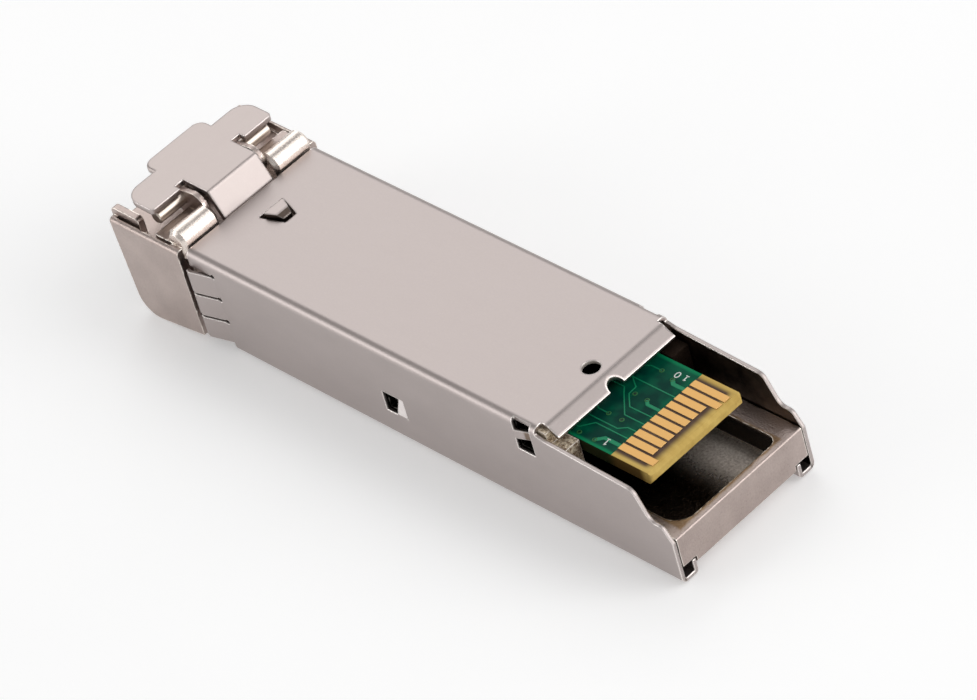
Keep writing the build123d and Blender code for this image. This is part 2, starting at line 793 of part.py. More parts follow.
transmit_barrel = barrel(-half_pitch)
transmit_barrel.label = "transmit_barrel"
receive_barrel = barrel(half_pitch)
receive_barrel.label = "receive_barrel"
transmit_sleeve = sleeve(-half_pitch)
transmit_sleeve.label = "transmit_sleeve"
receive_sleeve = sleeve(half_pitch)
receive_sleeve.label = "receive_sleeve"
transmit_can = can(-half_pitch, 4)
transmit_can.label = "transmit_can"
receive_can = can(half_pitch, 5)
receive_can.label = "receive_can"

# Clamp that holds both barrels against the partition
with BuildPart() as clamp:
    clamp_x = flange_x + flange_thickness + clamp_gap
    clamp_low = label_z + floor + clamp_side_gap
    clamp_high = axis_z + flange_radius
    with BuildSketch(Plane.YZ.offset(clamp_x)):
        with Locations((0, (clamp_low + clamp_high) / 2)):
            Rectangle(2 * clamp_half_width, clamp_high - clamp_low)
        for sign in (-1, 1):
            with Locations((sign * half_pitch, axis_z)):
                Circle(barrel_radius + clamp_side_gap, mode=Mode.SUBTRACT)
            with Locations((sign * half_pitch, (axis_z + clamp_high) / 2)):
                Rectangle(2 * (barrel_radius + clamp_side_gap), clamp_high - axis_z, mode=Mode.SUBTRACT)
    extrude(amount=clamp_thickness)
clamp.part.label = "barrel_clamp"


def flex(y):
    # ribbon from the can's leads up to the underside of the board
    with BuildPart() as piece:
        near_x = header_x + can_header_thickness + flex_clear
        end_x = board_front_x + flex_overlap
        upper_z = board_low_z - seat
        lower_z = upper_z - flex_thickness
        with BuildSketch(Plane.XZ.offset(-y)):
            with BuildLine():
                Polyline(
                    (near_x, axis_z - flex_drop),
                    (near_x, upper_z),
                    (end_x, upper_z),
                    (end_x, lower_z),
                    (near_x + flex_thickness, lower_z),
                    (near_x + flex_thickness, axis_z - flex_drop),
                    close=True,
                )
            make_face()
            bend = vertices().group_by(Axis.Y)[-1].sort_by(Axis.X)[0]
            fillet(bend, radius=flex_bend)
        extrude(amount=flex_half_width, both=True)
        with Locations(Location((near_x, y, axis_z), (0, 90, 0))):
            Cylinder(lead_circle + lead_radius + flex_clear, past, mode=Mode.SUBTRACT)
    return piece.part


transmit_flex = flex(-half_pitch)
transmit_flex.label = "transmit_flex"
receive_flex = flex(half_pitch)
receive_flex.label = "receive_flex"


def chip(x, y, size, level, height):
    # square package with softened top edges
    with BuildPart() as piece:
        with Locations((x, y, level + height / 2)):
            Box(size, size, height)
        fillet(piece.edges().filter_by(Axis.Z), radius=chip_edge)
    return piece.part


chips_x = board_front_x + chips_share * board_body_length
laser_driver = chip(chips_x, -chip_side, driver_size, board_top_z + seat, chip_height)
laser_driver.label = "laser_driver"
limiting_amplifier = chip(chips_x, chip_side, amplifier_size, board_top_z + seat, chip_height)
limiting_amplifier.label = "limiting_amplifier"
controller_z = board_low_z - seat - chip_height
controller_x = board_front_x + controller_share * board_body_length
controller_chip = chip(controller_x, 0, controller_size, controller_z, chip_height)
controller_chip.label = "controller_chip"

with BuildPart() as passives:
    passives_x = board_front_x + passives_share * board_body_length
    with Locations((passives_x, 0, board_top_z + seat + passive_height / 2)):
        with GridLocations(passive_step_share * board_body_length, passive_step_y, 5, 5):
            Box(passive_length, passive_width, passive_height)
passives.part.label = "chip_passives"

with BuildPart() as inductors:
    inductors_x = board_front_x + inductors_share * board_body_length
    with Locations((inductors_x, 0, board_top_z + seat + inductor_height / 2)):
        with GridLocations(inductor_length, inductor_step, 1, 2):
            Box(inductor_length, inductor_width, inductor_height)
inductors.part.label = "supply_inductors"

os.makedirs("parts", exist_ok=True)
pieces = [
    housing.part, cover.part, lever.part, pin.part, spring.part, board.part,
    upper_contacts, lower_contacts, transmit_barrel, receive_barrel,
    transmit_sleeve, receive_sleeve, transmit_can, receive_can, clamp.part,
    transmit_flex, receive_flex, laser_driver, limiting_amplifier, controller_chip,
    passives.part, inductors.part,
]
for piece in pieces:
    export_step(piece, f"parts/{piece.label}.step")
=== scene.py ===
import math
import bpy
import numpy as np
from mathutils import Matrix, Vector


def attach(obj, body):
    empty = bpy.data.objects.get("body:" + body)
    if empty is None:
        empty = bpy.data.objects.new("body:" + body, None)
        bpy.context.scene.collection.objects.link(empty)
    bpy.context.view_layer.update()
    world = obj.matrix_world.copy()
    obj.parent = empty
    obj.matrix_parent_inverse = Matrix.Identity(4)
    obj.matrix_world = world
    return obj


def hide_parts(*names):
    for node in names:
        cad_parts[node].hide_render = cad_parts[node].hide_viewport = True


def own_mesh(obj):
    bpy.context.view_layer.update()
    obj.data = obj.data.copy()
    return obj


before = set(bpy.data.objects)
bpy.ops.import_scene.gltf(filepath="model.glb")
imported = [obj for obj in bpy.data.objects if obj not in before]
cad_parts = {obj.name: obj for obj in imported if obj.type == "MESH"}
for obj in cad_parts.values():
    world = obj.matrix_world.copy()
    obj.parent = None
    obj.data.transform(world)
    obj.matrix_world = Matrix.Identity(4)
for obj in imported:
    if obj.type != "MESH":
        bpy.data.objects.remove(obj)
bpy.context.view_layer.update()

scene = bpy.context.scene
mm = 0.001
print("frame loaded:", len(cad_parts), "nodes")


# small helpers for shader trees
def feed(tree, node, inputs):
    # an input takes a link where it is given another node's output, and otherwise the value itself
    for name, value in inputs.items():
        if isinstance(value, bpy.types.NodeSocket):
            tree.links.new(value, node.inputs[name])
        elif value is not None:
            node.inputs[name].default_value = value


def putNode(tree, kind, inputs=None, **settings):
    node = tree.nodes.new(kind)
    for name, value in settings.items():
        setattr(node, name, value)
    feed(tree, node, inputs or {})
    return node


def mathNode(tree, operation, first, second=None, third=None, clamp=False):
    return putNode(tree, "ShaderNodeMath", {0: first, 1: second, 2: third}, operation=operation,
                   use_clamp=clamp).outputs[0]


def vectorMath(tree, operation, first, second=None):
    node = putNode(tree, "ShaderNodeVectorMath", {0: first, 1: second}, operation=operation)
    return node.outputs["Value" if operation == "DOT_PRODUCT" else "Vector"]


def mixColour(tree, factor, first, second):
    # each end is another node's output, or a colour as it looks on a screen
    first, second = (end if isinstance(end, bpy.types.NodeSocket) else tone(end) for end in (first, second))
    return putNode(tree, "ShaderNodeMix", {0: factor, 6: first, 7: second}, data_type="RGBA").outputs[2]


def mixVector(tree, factor, first, second):
    return putNode(tree, "ShaderNodeMix", {0: factor, 4: first, 5: second}, data_type="VECTOR").outputs[1]


def split(tree, vector):
    parts = putNode(tree, "ShaderNodeSeparateXYZ", {"Vector": vector}).outputs
    return parts["X"], parts["Y"], parts["Z"]


def join(tree, **parts):
    return putNode(tree, "ShaderNodeCombineXYZ", parts).outputs[0]


def times(tree, first, second):
    return mathNode(tree, "MULTIPLY", first, second)


def less(tree, first, second):
    return mathNode(tree, "SUBTRACT", first, second)


def absolute(tree, value):
    return mathNode(tree, "ABSOLUTE", value)


def lengthOf(tree, vector):
    return mathNode(tree, "SQRT", vectorMath(tree, "DOT_PRODUCT", vector, vector))


def above(tree, value, low):
    return mathNode(tree, "GREATER_THAN", value, low)


def below(tree, value, high):
    return mathNode(tree, "LESS_THAN", value, high)


def between(tree, value, low, high):
    # one where the value lies between low and high, nothing elsewhere
    return times(tree, above(tree, value, low), below(tree, value, high))


def ramp(tree, value, low, high, outLow=0.0, outHigh=1.0):
    ends = {"From Min": low, "From Max": high, "To Min": outLow, "To Max": outHigh}
    return putNode(tree, "ShaderNodeMapRange", {"Value": value, **ends},
                   interpolation_type="SMOOTHSTEP").outputs[0]


def fade(tree, value, low, high):
    # one up to low, nothing from high on
    return ramp(tree, value, low, high, 1.0, 0.0)


def allOf(tree, *masks):
    whole = masks[0]
    for mask in masks[1:]:
        whole = times(tree, whole, mask)
    return whole


def noise(tree, coords, scale, detail, **others):
    return putNode(tree, "ShaderNodeTexNoise", {"Vector": coords, "Scale": scale, "Detail": detail,
                                                **others}).outputs[0]


def flatNormal(tree):
    return putNode(tree, "ShaderNodeNewGeometry").outputs["Normal"]


def tone(colour):
    # a colour written as it looks on a screen, 0 to 255, turned into the linear values that a socket takes
    part = np.array(colour[:3], float) / 255.0
    linear = np.where(part <= 0.04045, part / 12.92, ((part + 0.055) / 1.055) ** 2.4)
    return (*[float(value) for value in linear], 1.0)


def newGroup(name, inputs, outputs):
    group = bpy.data.node_groups.new(name, "ShaderNodeTree")
    for label, kind, value in inputs:
        socket = group.interface.new_socket(name=label, in_out="INPUT", socket_type=kind)
        socket.default_value = value
    for label, kind in outputs:
        group.interface.new_socket(name=label, in_out="OUTPUT", socket_type=kind)
    return group, group.nodes.new("NodeGroupInput"), group.nodes.new("NodeGroupOutput")


def placeGroup(tree, group, inputs):
    return putNode(tree, "ShaderNodeGroup", inputs, node_tree=group)


# effects shared by several finishes
wearValues = {"samples": 6, "blotches": 2600.0, "nicks": 1700.0, "detail": 4.0, "edge": (0.01, 0.16),
              "beside": (0.004, 0.03), "gone": (0.44, 0.54)}
grainValues = {"fineDetail": 3.0, "wideDetail": 2.0, "wideScale": 0.06, "pitScale": 0.5,
               "pitReach": (0.05, 0.35), "fineShare": 0.4, "wideShare": 0.6}
dustValues = {"specks": 5200.0, "speckDetail": 2.0, "speckRange": (0.62, 0.72), "drifts": 260.0,
              "driftDetail": 3.0, "driftRange": (0.4, 0.65), "upward": (0.2, 0.9, 0.25, 1.0)}


def makeEdgeWearAndHighlight():
    # how far the rounded normal leans from the flat one, which is only so beside an edge, is the Edge mask
    # for worn edges and a painted highlight along them; where the edge is broken, the flat normal comes back
    # in patches, so that the light along it glitters
    group, given, result = newGroup(
        "edgeWearAndHighlight", [("Radius", "NodeSocketFloat", 0.1 * mm), ("Roughening", "NodeSocketFloat", 0.3),
                     ("Broken", "NodeSocketFloat", 0.0), ("Coords", "NodeSocketVector", (0, 0, 0))],
        [("Edge", "NodeSocketFloat"), ("Normal", "NodeSocketVector")])
    given = given.outputs
    rounded = putNode(group, "ShaderNodeBevel", {"Radius": given["Radius"]},
                      samples=wearValues["samples"]).outputs["Normal"]
    flat = flatNormal(group)
    away = less(group, 1.0, vectorMath(group, "DOT_PRODUCT", rounded, flat))
    blotch = noise(group, given["Coords"], wearValues["blotches"], wearValues["detail"])
    broken = times(group, less(group, blotch, 0.5), given["Roughening"])
    edge = mathNode(group, "ADD", ramp(group, away, *wearValues["edge"]), broken)
    edge = mathNode(group, "MULTIPLY", edge, ramp(group, away, *wearValues["beside"]), clamp=True)
    nicks = noise(group, given["Coords"], wearValues["nicks"], wearValues["detail"])
    gone = times(group, ramp(group, nicks, *wearValues["gone"]), given["Broken"])
    feed(group, result, {"Edge": edge, "Normal": mixVector(group, gone, rounded, flat)})
    return group


def makeGrain():
    # two sizes of noise and a scatter of pits, mixed into one height and one tone
    group, given, result = newGroup(
        "grain", [("Coords", "NodeSocketVector", (0, 0, 0)), ("Scale", "NodeSocketFloat", 6000.0),
                  ("Pits", "NodeSocketFloat", 0.0)],
        [("Height", "NodeSocketFloat"), ("Tone", "NodeSocketFloat")])
    coords, scale = given.outputs["Coords"], given.outputs["Scale"]
    fine = noise(group, coords, scale, grainValues["fineDetail"])
    wide = noise(group, coords, times(group, scale, grainValues["wideScale"]), grainValues["wideDetail"])
    spots = putNode(group, "ShaderNodeTexVoronoi",
                    {"Vector": coords, "Scale": times(group, scale, grainValues["pitScale"])})
    pit = fade(group, spots.outputs["Distance"], *grainValues["pitReach"])
    pit = times(group, pit, given.outputs["Pits"])
    shade = mathNode(group, "ADD", times(group, fine, grainValues["fineShare"]),
                     times(group, wide, grainValues["wideShare"]))
    feed(group, result, {"Height": less(group, fine, pit),
                         "Tone": mathNode(group, "SUBTRACT", shade, pit, clamp=True)})
    return group


def makeDust():
    # sparse specks, thicker on faces that look up
    group, given, result = newGroup(
        "dust", [("Coords", "NodeSocketVector", (0, 0, 0)), ("Amount", "NodeSocketFloat", 0.2)],
        [("Mask", "NodeSocketFloat")])
    coords = given.outputs["Coords"]
    specks = noise(group, coords, dustValues["specks"], dustValues["speckDetail"])
    drift = noise(group, coords, dustValues["drifts"], dustValues["driftDetail"])
    up = ramp(group, split(group, flatNormal(group))[2], *dustValues["upward"])
    mask = allOf(group, ramp(group, specks, *dustValues["speckRange"]),
                 ramp(group, drift, *dustValues["driftRange"]), up)
    feed(group, result, {"Mask": mathNode(group, "MULTIPLY", mask, given.outputs["Amount"], clamp=True)})
    return group


edgeWearAndHighlight, grain, dust = makeEdgeWearAndHighlight(), makeGrain(), makeDust()


def emptyTree(holder):
    holder.use_nodes = True
    holder.node_tree.nodes.clear()
    return holder.node_tree


def startMaterial(name):
    material = bpy.data.materials.new(name)
    tree = emptyTree(material)
    shader = putNode(tree, "ShaderNodeBsdfPrincipled")
    putNode(tree, "ShaderNodeOutputMaterial", {"Surface": shader.outputs[0]})
    return material, tree, shader, putNode(tree, "ShaderNodeTexCoord").outputs["Object"]


# what a look or a region has when it doesn't say otherwise
usualLook = {"roughening": 0.3, "broken": 0.0, "stretch": (1.0, 1.0, 1.0), "pits": 0.0, "metal": 1.0,
             "edgeHighlightShow": 0.6, "dust": 0.1, "dustColour": (210, 204, 196), "polish": 0.1, "specular": 0.5,
             "coatRough": 0.15, "bumpDepth": 0.02 * mm}
usualRegion = {"patchy": 0.0, "patchScale": 600.0, "patchDetail": 3.0, "patchRough": 0.65, "bumpGain": 1.0,
               "edgeHighlightKeep": 1.0}


def gainWithin(tree, value, mask, gain):
    # the value times the gain where the mask is one, and the value itself where it is nothing
    return times(tree, value, mathNode(tree, "MULTIPLY_ADD", mask, gain - 1.0, 1.0))


def finishedSurface(name, look, regions=(), bend=None):
    # colour varied by grain, edges paler (worn, and a painted highlight along them) and smoother, dust on
    # top, grain in the bump;
    # each region is a mask and the values that differ there, and bend rounds the normal where a fold is
    # tighter than the mesh
    material, tree, shader, coords = startMaterial(name)
    look = {"edge": look["light"], **usualLook, **look}
    worn = placeGroup(tree, edgeWearAndHighlight, {"Radius": look["edgeRadius"], "Roughening": look["roughening"],
                                       "Broken": look["broken"], "Coords": coords}).outputs
    stretched = putNode(tree, "ShaderNodeMapping", {"Vector": coords, "Scale": look["stretch"]})
    grained = placeGroup(tree, grain, {"Coords": stretched.outputs[0], "Scale": look["grainScale"],
                                       "Pits": look["pits"]}).outputs
    base = mixColour(tree, grained["Tone"], look["dark"], look["light"])
    rough = mathNode(tree, "ADD", times(tree, grained["Tone"], look["roughSpread"]), look["rough"])
    height, shown, metal = grained["Height"], worn["Edge"], look["metal"]
    for region, values in regions:
        other = {**usualRegion, **values}
        mask = region(tree, coords)
        patches = noise(tree, coords, other["patchScale"], other["patchDetail"],
                        Roughness=other["patchRough"])
        mottled = mathNode(tree, "MULTIPLY_ADD", less(tree, patches, 0.5), other["patchy"], grained["Tone"],
                           clamp=True)
        base = mixColour(tree, mask, base, mixColour(tree, mottled, other["dark"], other["light"]))
        rough = mathNode(tree, "MULTIPLY_ADD", mask, other["rough"] - look["rough"], rough)
        height = gainWithin(tree, height, mask, other["bumpGain"])
        shown = gainWithin(tree, shown, mask, other["edgeHighlightKeep"])
        if "metal" in other:
            metal = mathNode(tree, "MULTIPLY_ADD", mask, other["metal"] - look["metal"], metal)
    # the pale edge colour is partly wear and partly a painted highlight along the edges
    base = mixColour(tree, times(tree, shown, look["edgeHighlightShow"]), base, look["edge"])
    specks = placeGroup(tree, dust, {"Coords": coords, "Amount": look["dust"]})
    base = mixColour(tree, specks.outputs["Mask"], base, look["dustColour"])
    rough = mathNode(tree, "SUBTRACT", rough, times(tree, worn["Edge"], look["polish"]), clamp=True)
    normal = worn["Normal"] if bend is None else bend(tree, coords, worn["Normal"])
    bump = putNode(tree, "ShaderNodeBump", {"Strength": look["bump"], "Distance": look["bumpDepth"],
                                            "Height": height, "Normal": normal})
    feed(tree, shader, {"Metallic": look["metal"], "Specular IOR Level": look["specular"]})
    feed(tree, shader, {"Base Color": base, "Roughness": rough, "Metallic": metal, "Normal": bump.outputs[0]})
    if "coat" in look:
        feed(tree, shader, {"Coat Weight": look["coat"], "Coat Roughness": look["coatRough"]})
    return material


def dress(node, material):
    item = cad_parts[node]
    item.data.materials.clear()
    item.data.materials.append(material)


# the sheet cover: satin nickel outside, dull and painted dark on the walls' inner faces as painted shade
coverLook = {"dark": (170, 160, 157), "light": (187, 177, 174), "edge": (250, 243, 238), "rough": 0.34,
             "roughSpread": 0.10, "grainScale": 9000.0, "bump": 0.16, "edgeRadius": 0.18 * mm,
             "edgeHighlightShow": 1.0, "roughening": 0.5, "dust": 0.08, "stretch": (0.5, 1.0, 1.0),
             "innerFace": 6.4 * mm, "wallFade": (0.03 * mm, 0.09 * mm), "side": 6.7 * mm, "top": 8.75 * mm,
             "foldRadius": 0.65 * mm, "foldStart": 8.3 * mm, "foldEnd": 15.87 * mm, "foldLeast": 0.001 * mm,
             "foldFacing": 0.6, "crease": 16.33 * mm, "creaseHalf": 0.3 * mm, "creaseFlat": 0.24 * mm,
             "creaseTurn": math.radians(31.0), "lipHalf": 5.84 * mm, "lipLow": 7.9 * mm,
             "lipEnd": 17.425 * mm, "lipFacing": 0.7,
             "endFade": (17.205 * mm, 17.365 * mm), "notchFade": (0.74 * mm, 0.9 * mm),
             "endTurn": math.radians(30.0), "tabLength": (-0.55 * mm, 1.56 * mm),
             "tabHeight": (2.62 * mm, 4.38 * mm), "tabFace": 6.68 * mm}
# painted shade: the walls' inner faces darkened to stand in for the shade inside the cover
shadedInnerWallLook = {"dark": (50, 41, 35), "light": (160, 140, 124), "rough": 0.26, "patchy": 2.6,
                 "patchScale": 420.0, "bumpGain": 1.6}
# painted highlight: the sprung tab paler than the sheet around it
litTabLook = {"dark": (206, 198, 195), "light": (238, 232, 230), "rough": 0.34}
# painted highlight: the round hole's wall paler and partly matte
holeHighlightLook = {"dark": (176, 164, 156), "light": (240, 230, 222), "rough": 0.4, "patchy": 1.2,
            "patchScale": 2400.0, "metal": 0.3, "middle": 15.075 * mm, "reach": 0.703 * mm}


def innerWall(tree, coords):
    # one on the walls' inner faces below the fold, nothing elsewhere; painted shade goes there
    x, y, z = split(tree, coords)
    off = absolute(tree, less(tree, absolute(tree, y), coverLook["innerFace"]))
    return allOf(tree, fade(tree, off, *coverLook["wallFade"]), below(tree, z, coverLook["foldStart"]))


def onTab(tree, coords):
    # the sprung tab, which lies just inside the wall's outer face in its window; a painted highlight goes
    # there
    x, y, z = split(tree, coords)
    return allOf(tree, between(tree, x, *coverLook["tabLength"]), between(tree, z, *coverLook["tabHeight"]),
                 below(tree, absolute(tree, y), coverLook["tabFace"]))


def inHole(tree, coords):
    # the wall of the round hole: within the hole's radius of its axis; a painted highlight goes there
    x, y, z = split(tree, coords)
    reach = lengthOf(tree, join(tree, X=less(tree, x, holeHighlightLook["middle"]), Y=y))
    return below(tree, reach, holeHighlightLook["reach"])


def sheetBend(tree, coords, normal):
    # along the two long folds the normal points away from a line set in by the fold's radius; across the
    # lip's crease it turns smoothly from straight up to the lip's slope, and further at the lip's rounded end
    along, across, up = split(tree, coords)
    side, least = absolute(tree, across), coverLook["foldLeast"]
    outward = mathNode(tree, "MAXIMUM", less(tree, side, coverLook["side"] - coverLook["foldRadius"]), 0.0)
    upward = mathNode(tree, "MAXIMUM", less(tree, up, coverLook["top"] - coverLook["foldRadius"]), 0.0)
    folded = join(tree, Y=times(tree, outward, mathNode(tree, "SIGN", across)), Z=upward)
    rounded = vectorMath(tree, "NORMALIZE", folded)
    onFold = allOf(tree, below(tree, along, coverLook["foldEnd"]), above(tree, outward, least),
                   above(tree, upward, least),
                   above(tree, vectorMath(tree, "DOT_PRODUCT", normal, rounded), coverLook["foldFacing"]))
    normal = mixVector(tree, onFold, normal, rounded)
    middle, half = coverLook["crease"], coverLook["creaseHalf"]
    fromNotch = lengthOf(tree, join(tree, X=less(tree, along, coverLook["lipEnd"]), Y=across))
    atEnd = mathNode(tree, "MAXIMUM", ramp(tree, along, *coverLook["endFade"]),
                     fade(tree, fromNotch, *coverLook["notchFade"]))
    turn = ramp(tree, along, middle - half, middle + half, 0.0, coverLook["creaseTurn"])
    turn = mathNode(tree, "MULTIPLY_ADD", atEnd, coverLook["endTurn"], turn)
    bent = join(tree, X=mathNode(tree, "SINE", turn), Z=mathNode(tree, "COSINE", turn))
    off = absolute(tree, less(tree, along, middle))
    facing = split(tree, flatNormal(tree))[2]
    onLip = allOf(tree, mathNode(tree, "MAXIMUM", fade(tree, off, coverLook["creaseFlat"], half), atEnd),
                  below(tree, side, coverLook["lipHalf"]), above(tree, up, coverLook["lipLow"]),
                  above(tree, facing, coverLook["lipFacing"]))
    return mixVector(tree, onLip, normal, bent)


dress("cover_shell", finishedSurface("nickelSheet", coverLook, [(innerWall, shadedInnerWallLook), (onTab, litTabLook),
                                                                (inHole, holeHighlightLook)], sheetBend))

# the casting: plated, with a sandy grain, glossy inside the rear pocket and painted dark there as painted
# shade
castLook = {"dark": (146, 131, 126), "light": (206, 191, 184), "edge": (252, 244, 234), "rough": 0.24,
            "roughSpread": 0.2, "grainScale": 6500.0, "bump": 0.8, "bumpDepth": 0.04 * mm,
            "edgeRadius": 0.16 * mm, "edgeHighlightShow": 1.0, "roughening": 1.1, "broken": 0.9, "pits": 0.12,
            "pocketFloor": 2.15 * mm, "pocketFade": (3.8 * mm, 4.1 * mm), "pocketBase": 1.0 * mm,
            "pocketLength": (-9.0 * mm, 27.2 * mm), "pocketHalf": 5.3 * mm, "litFade": (-0.6 * mm, 2.4 * mm),
            "rim": 4.15 * mm, "rimBand": (4.05 * mm, 4.25 * mm), "stainLength": (18.1 * mm, 27.8 * mm),
            "stainSides": (-5.2 * mm, 4.6 * mm), "stainReach": 0.32 * mm, "stainScale": 900.0,
            "stainDetail": 4.0, "stainBreak": (1.6, -0.8), "stainFade": (0.1, 1.0, 0.85, 0.0),
            "postLength": (15.8 * mm, 18.1 * mm), "postInside": 4.5 * mm,
            "lockLength": (13.2 * mm, 15.86 * mm), "lockInside": 5.6 * mm, "lockLow": 5.4 * mm,
            "windowLength": (-1.0 * mm, 2.2 * mm), "windowHeight": (2.2 * mm, 5.0 * mm)}
# painted highlight: the stop ridges paler than the casting, and smoother
ridgeHighlightLook = {"dark": (206, 193, 184), "light": (250, 240, 232), "rough": 0.17, "bumpGain": 0.5,
             "axis": (-20.825 * mm, 8.95 * mm), "radius": 1.0 * mm, "inside": 2.9 * mm, "outside": 6.52 * mm}
# painted shade: the pocket under the board darkened towards black
shadedPocketLook = {"dark": (20, 16, 13), "light": (92, 80, 70), "rough": 0.08, "patchy": 0.8, "bumpGain": 4.0,
              "edgeHighlightKeep": 0.5}
pocketLitLook = {"dark": (176, 162, 150), "light": (236, 226, 216), "rough": 0.38, "patchy": 2.2,
                 "patchScale": 5200.0, "bumpGain": 0.3, "metal": 0.6}
# painted light: the near post pale gold with painted glints
litNearPostLook = {"dark": (128, 98, 70), "light": (255, 240, 214), "rough": 0.46, "patchy": 3.6,
                "patchScale": 5200.0, "bumpGain": 1.8, "metal": 0.35}
# painted shade: the far post dark brown
shadedFarPostLook = {"dark": (32, 26, 22), "light": (74, 60, 51), "rough": 0.6, "patchy": 1.0, "bumpGain": 1.6,
               "edgeHighlightKeep": 0.0}
# painted shade: near-black where the openings show the casting behind
shadedOpeningLook = {"dark": (8, 7, 6), "light": (26, 23, 20), "rough": 0.5, "edgeHighlightKeep": 0.2}
stainLook = {"dark": (110, 82, 52), "light": (178, 148, 108), "rough": 0.36, "patchy": 1.2,
             "patchScale": 1500.0}
rodValues = {"skin": (0.97, 1.02), "facing": 0.85}   # shares of a rod's radius; how nearly the normal fits


def insidePocket(tree, coords):
    # below the rim, short of the rear wall, and between the side walls
    x, y, z = split(tree, coords)
    return allOf(tree, fade(tree, z, *castLook["pocketFade"]), above(tree, z, castLook["pocketBase"]),
                 between(tree, x, *castLook["pocketLength"]),
                 below(tree, absolute(tree, y), castLook["pocketHalf"]))


def litPocket(tree, coords):
    # the far part of the pocket's floor, which the gap between the board and the wall lets light onto
    x, y, z = split(tree, coords)
    return allOf(tree, insidePocket(tree, coords), below(tree, z, castLook["pocketFloor"]),
                 ramp(tree, y, *castLook["litFade"]))


def fromAxis(tree, coords, axis):
    # straight away from a line that runs across the part
    x, y, z = split(tree, coords)
    return join(tree, X=less(tree, x, axis[0]), Z=less(tree, z, axis[1])), absolute(tree, y)


def onRidge(tree, coords):
    # within the stop ridges' radius of their axis, where a painted highlight goes
    spoke, side = fromAxis(tree, coords, ridgeHighlightLook["axis"])
    return times(tree, below(tree, lengthOf(tree, spoke), ridgeHighlightLook["radius"] * rodValues["skin"][1]),
                 between(tree, side, ridgeHighlightLook["inside"], ridgeHighlightLook["outside"]))


def onPost(side):
    def region(tree, coords):
        # the post beside the board, above the rim; side is -1 for the near one and 1 for the far one; the
        # near one gets painted light and the far one painted shade
        x, y, z = split(tree, coords)
        beyond = above if side > 0 else below
        return allOf(tree, between(tree, x, *castLook["postLength"]), above(tree, z, castLook["rim"]),
                     beyond(tree, y, side * castLook["postInside"]))
    return region


def behindLock(tree, coords):
    # what shows through the openings beside the lip and through the side windows, painted near-black as
    # painted shade
    x, y, z = split(tree, coords)
    atLock = times(tree, between(tree, x, *castLook["lockLength"]), above(tree, z, castLook["lockLow"]))
    atWindow = times(tree, between(tree, x, *castLook["windowLength"]),
                     between(tree, z, *castLook["windowHeight"]))
    return times(tree, mathNode(tree, "MAXIMUM", atLock, atWindow),
                 above(tree, absolute(tree, y), castLook["lockInside"]))


def rimStain(tree, coords):
    # a broken tint on the rim, fading with the distance from the pocket's edge
    x, y, z = split(tree, coords)
    near, far = castLook["stainSides"]
    beyond = mathNode(tree, "MAXIMUM", less(tree, x, castLook["pocketLength"][1]),
                      mathNode(tree, "MAXIMUM", less(tree, near, y), less(tree, y, far)))
    broken = noise(tree, coords, castLook["stainScale"], castLook["stainDetail"])
    reach = mathNode(tree, "ADD", mathNode(tree, "DIVIDE", beyond, castLook["stainReach"]),
                     mathNode(tree, "MULTIPLY_ADD", broken, *castLook["stainBreak"]))
    return allOf(tree, ramp(tree, reach, *castLook["stainFade"]), between(tree, z, *castLook["rimBand"]),
                 between(tree, x, *castLook["stainLength"]))


def rodBend(look):
    def bend(tree, coords, normal):
        # on a rod that runs across, the normal points straight away from its axis
        spoke, side = fromAxis(tree, coords, look["axis"])
        away = vectorMath(tree, "NORMALIZE", spoke)
        skin = [look["radius"] * share for share in rodValues["skin"]]
        onRod = allOf(tree, between(tree, lengthOf(tree, spoke), *skin), above(tree, side, look["inside"]),
                      above(tree, vectorMath(tree, "DOT_PRODUCT", normal, away), rodValues["facing"]))
        return mixVector(tree, onRod, normal, away)
    return bend


castRegions = [(rimStain, stainLook), (insidePocket, shadedPocketLook), (litPocket, pocketLitLook),
               (onPost(1.0), shadedFarPostLook), (behindLock, shadedOpeningLook), (onRidge, ridgeHighlightLook),
               (onPost(-1.0), litNearPostLook)]
dress("base_housing", finishedSurface("plainCasting", castLook, castRegions, rodBend(ridgeHighlightLook)))

# latch lever, pin and spring
latchLook = {"dark": (172, 161, 158), "light": (188, 178, 174), "edge": (248, 240, 236), "rough": 0.32,
             "roughSpread": 0.10, "grainScale": 9000.0, "bump": 0.14, "edgeRadius": 0.18 * mm, "dust": 0.08}
# painted shade: the boss's sides darkened below its top face
shadedBossSideLook = {"dark": (44, 37, 33), "light": (120, 106, 97), "rough": 0.3, "edgeHighlightKeep": 0.5,
                "length": (-17.6 * mm, -15.2 * mm), "height": (8.0 * mm, 9.1 * mm)}
pinLook = {"dark": (186, 174, 162), "light": (226, 216, 206), "rough": 0.24, "roughSpread": 0.12,
           "grainScale": 8000.0, "bump": 0.12, "edgeRadius": 0.08 * mm, "stretch": (1.0, 0.2, 1.0),
           "axis": (-23.725 * mm, 9.4 * mm), "radius": 0.55 * mm, "inside": -1.0}   # the whole pin's length
springLook = {"dark": (150, 148, 146), "light": (178, 176, 174), "rough": 0.25, "roughSpread": 0.12,
              "grainScale": 8000.0, "bump": 0.1, "edgeRadius": 0.05 * mm, "stretch": (0.2, 1.0, 1.0)}


def onBossSide(tree, coords):
    # the sides of the raised boss, below its top face, which get painted shade
    x, y, z = split(tree, coords)
    return times(tree, between(tree, x, *shadedBossSideLook["length"]), between(tree, z, *shadedBossSideLook["height"]))


dress("latch_lever", finishedSurface("leverSheet", latchLook, [(onBossSide, shadedBossSideLook)]))
dress("pivot_pin", finishedSurface("groundPin", pinLook, bend=rodBend(pinLook)))
springFinish = finishedSurface("springLeaf", springLook)
dress("latch_spring", springFinish)

# edge contacts
goldLook = {"dark": (196, 150, 88), "light": (212, 170, 108), "edge": (246, 210, 152), "rough": 0.34,
            "roughSpread": 0.12, "grainScale": 9000.0, "bump": 0.12, "edgeRadius": 0.03 * mm, "dust": 0.04}
goldFinish = finishedSurface("contactGold", goldLook)
dress("upper_contacts", goldFinish)
dress("lower_contacts", goldFinish)

